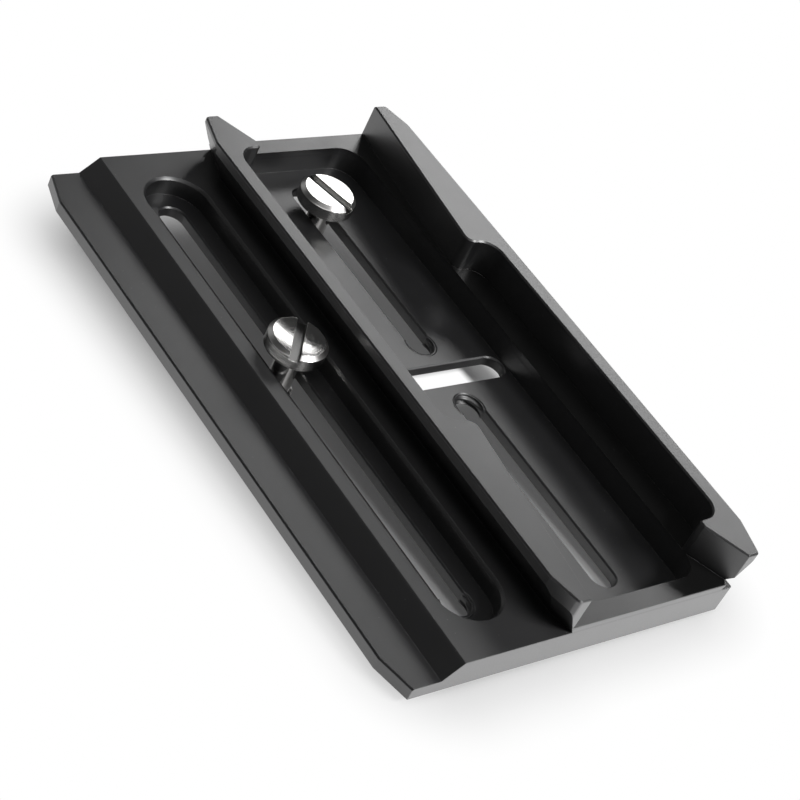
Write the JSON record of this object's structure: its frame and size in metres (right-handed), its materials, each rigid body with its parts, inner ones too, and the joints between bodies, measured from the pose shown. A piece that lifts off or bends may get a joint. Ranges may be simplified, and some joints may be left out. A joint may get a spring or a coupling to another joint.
{
  "type": "gimbal quick release plate",
  "caption": "Black anodised plate with a dovetail on top, screw slots in two recesses, and slotted camera screws that slide along them.",
  "frame": {"origin": "middle of the dovetail, on the face that meets the camera", "axes": "+Y along the dovetail, +X across it away from the thin flange, +Z from the camera face to the dovetail's top"},
  "size_m": [0.0808, 0.128, 0.0223],
  "materials": {
    "black_anodised": "satin black anodised milled aluminium",
    "turned_steel": "bright turned steel"
  },
  "bodies": {
    "plate": {"plate": "black_anodised"},
    "side_screw": {"side_camera_screw": "turned_steel"},
    "middle_screw": {"middle_camera_screw": "turned_steel"}
  },
  "joints": [
    {"name": "side_screw_slide", "type": "slide", "parent": "plate", "child": "side_screw", "axis": [0, 1, 0], "range_m": [-0.05775, 0.04225]},
    {"name": "middle_screw_slide", "type": "slide", "parent": "plate", "child": "middle_screw", "axis": [0, 1, 0], "range_m": [-0.0383, 0.0051]}
  ]
}
